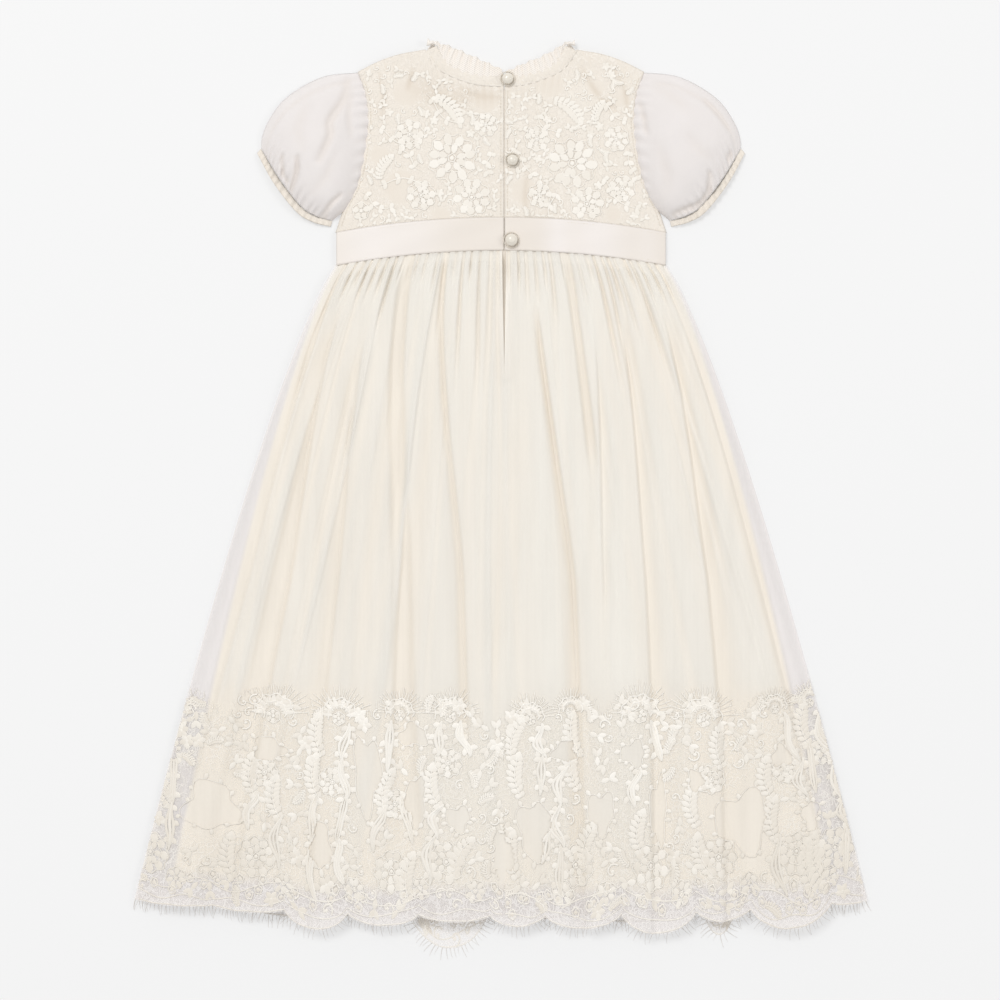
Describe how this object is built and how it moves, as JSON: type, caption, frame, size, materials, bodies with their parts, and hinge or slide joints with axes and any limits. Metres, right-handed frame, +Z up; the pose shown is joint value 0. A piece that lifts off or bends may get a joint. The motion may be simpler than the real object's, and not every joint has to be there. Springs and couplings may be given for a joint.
{
  "type": "baby christening gown",
  "caption": "Ivory baby gown laid flat on its front: lace-sprayed bodice, puff sleeves, satin waistband and a long gathered net skirt with a scalloped lace border.",
  "frame": {"origin": "middle of the gown's outline on the surface that it lies on", "axes": "+X across the gown to the right as seen from above its back, +Y from the hem to the neck, +Z up from the surface"},
  "size_m": [0.5524, 0.6869, 0.0183],
  "materials": {
    "tulle": "sheer matte net",
    "silk": "soft sheen silk",
    "lace": "matte corded lace",
    "bodice_silk": "matte silk under lace",
    "sleeve_voile": "fine matte voile",
    "satin": "satin ribbon sheen",
    "pearl": "pearl lustre"
  },
  "bodies": {
    "root": {"bodice_front": "bodice_silk", "bodice_back_left": "bodice_silk", "bodice_back_right": "bodice_silk", "placket": "bodice_silk", "neck_binding_left": "bodice_silk", "neck_binding_right": "bodice_silk", "neck_frill_left": "tulle", "neck_frill_right": "tulle", "neck_frill_front": "tulle", "sleeve_left": "sleeve_voile", "sleeve_right": "sleeve_voile", "cuff_frill_left": "sleeve_voile", "cuff_frill_right": "sleeve_voile", "waistband_front": "satin", "waistband_back_left": "satin", "waistband_back_right": "satin", "net_skirt_front": "tulle", "net_skirt_back_left": "tulle", "net_skirt_back_right": "tulle", "silk_skirt_front": "silk", "silk_skirt_back": "silk", "lace_border_front": "lace", "lace_border_back_left": "lace", "lace_border_back_right": "lace", "hem_fringe_front": "lace", "hem_fringe_back_left": "lace", "hem_fringe_back_right": "lace", "lace_blossom_1": "lace", "lace_blossom_2": "lace", "lace_blossom_3": "lace", "lace_blossom_4": "lace", "lace_blossom_5": "lace", "lace_blossom_6": "lace", "lace_blossom_7": "lace", "lace_blossom_8": "lace", "lace_blossom_9": "lace", "lace_blossom_10": "lace", "lace_blossom_11": "lace", "lace_blossom_12": "lace", "lace_leaf_1": "lace", "lace_leaf_2": "lace", "lace_leaf_3": "lace", "lace_leaf_4": "lace", "button_loop_1": "lace", "button_loop_2": "lace", "button_loop_3": "lace", "pearl_button_1": "pearl", "pearl_button_2": "pearl", "pearl_button_3": "pearl"}
  },
  "joints": []
}
